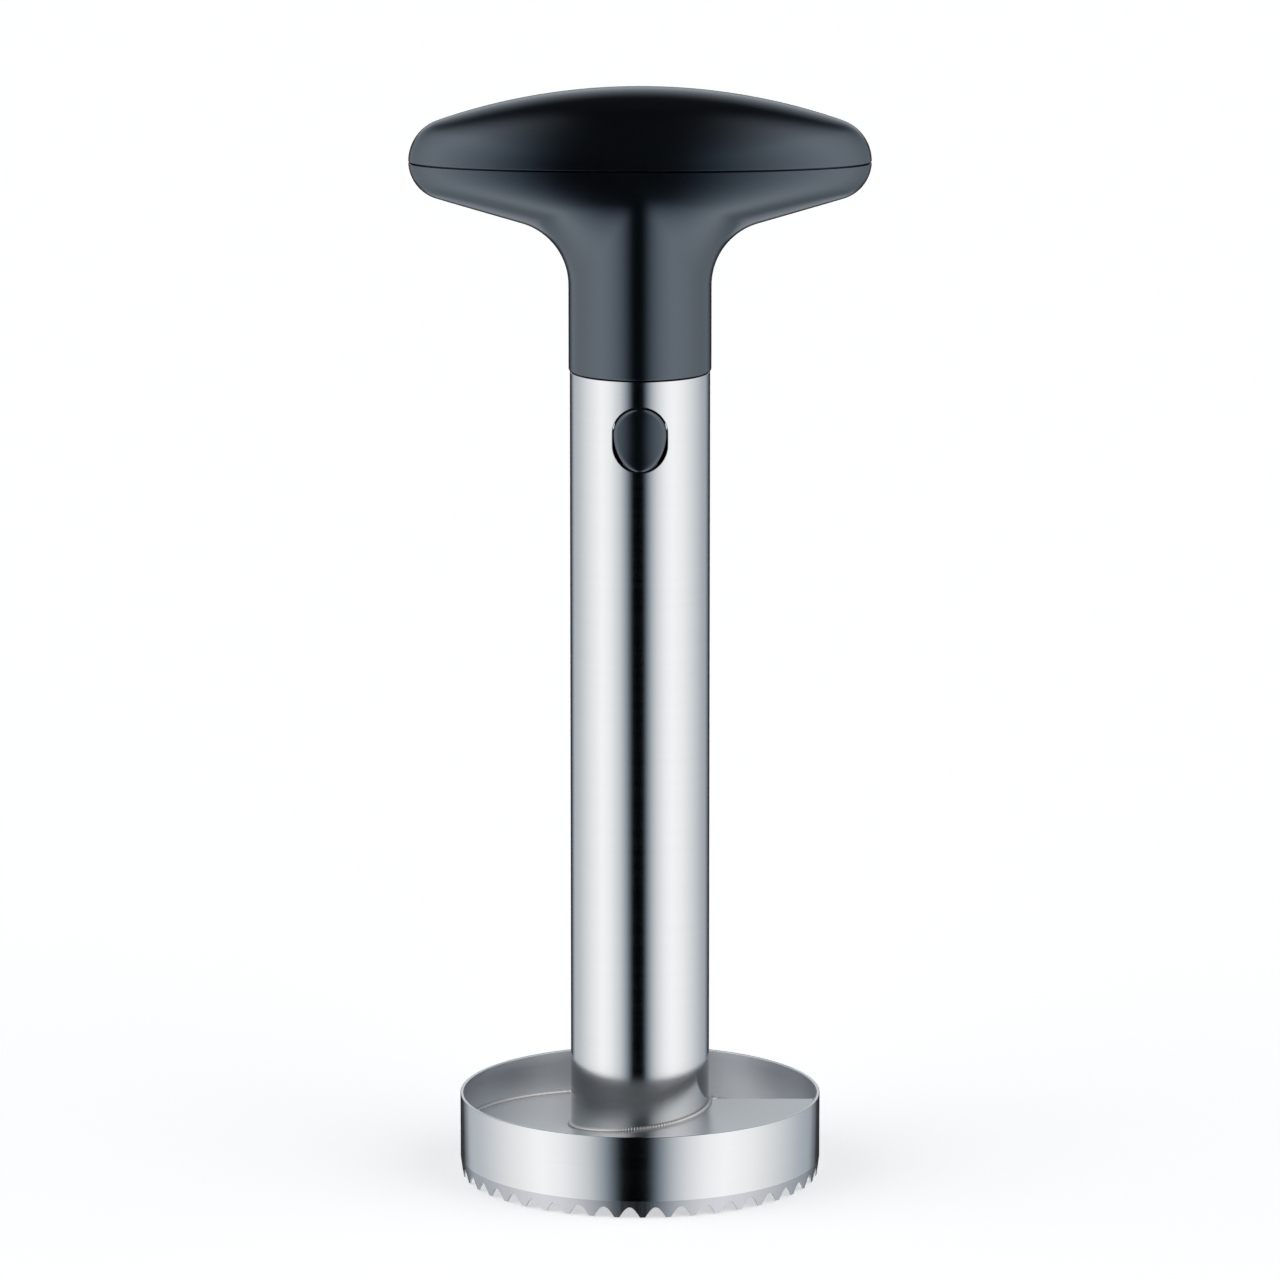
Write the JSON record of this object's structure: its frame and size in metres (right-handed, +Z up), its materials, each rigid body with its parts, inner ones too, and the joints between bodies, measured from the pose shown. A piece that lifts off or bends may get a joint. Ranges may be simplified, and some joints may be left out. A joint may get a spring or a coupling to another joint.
{
  "type": "pineapple slicer",
  "caption": "Hand-cranked pineapple slicer: a steel core tube with a toothed ring and a spiral blade at its foot, and a black T-grip that snaps into the tube with side buttons.",
  "frame": {"origin": "on the core tube's axis, level with the tooth tips that the slicer stands on", "axes": "+Z up along the tube to the grip, X along the grip's long side, -Y to the front, where the front button is"},
  "size_m": [0.1116, 0.0886, 0.2691],
  "materials": {
    "steel": "satin stainless steel, brushed round the tube",
    "grip": "black moulded plastic with a fine satin texture",
    "plug": "black moulded plastic, slightly duller than the grip",
    "fastener": "plain stainless steel"
  },
  "bodies": {
    "cutter": {"core_tube": "steel", "rim_ring": "steel", "spiral_blade": "steel"},
    "grip": {"grip_top_shell": "grip", "grip_body": "grip", "snap_plug": "plug", "clamp_screw": "fastener", "screw_washer": "fastener"},
    "front_button": {"front_button_tongue": "plug"},
    "rear_button": {"rear_button_tongue": "plug"}
  },
  "joints": [
    {"name": "grip_lift", "type": "slide", "parent": "cutter", "child": "grip", "axis": [0, 0, 1], "range_m": [0, 0.178]},
    {"name": "front_button_press", "type": "hinge", "parent": "grip", "child": "front_button", "pos_m": [0, -0.0148, 0.1672], "axis": [-1, 0, 0], "range_deg": [0, 8.5], "stiffness_Nm_per_rad": 1.2},
    {"name": "rear_button_press", "type": "hinge", "parent": "grip", "child": "rear_button", "pos_m": [0, 0.0148, 0.1672], "axis": [1, 0, 0], "range_deg": [0, 8.5], "stiffness_Nm_per_rad": 1.2}
  ]
}
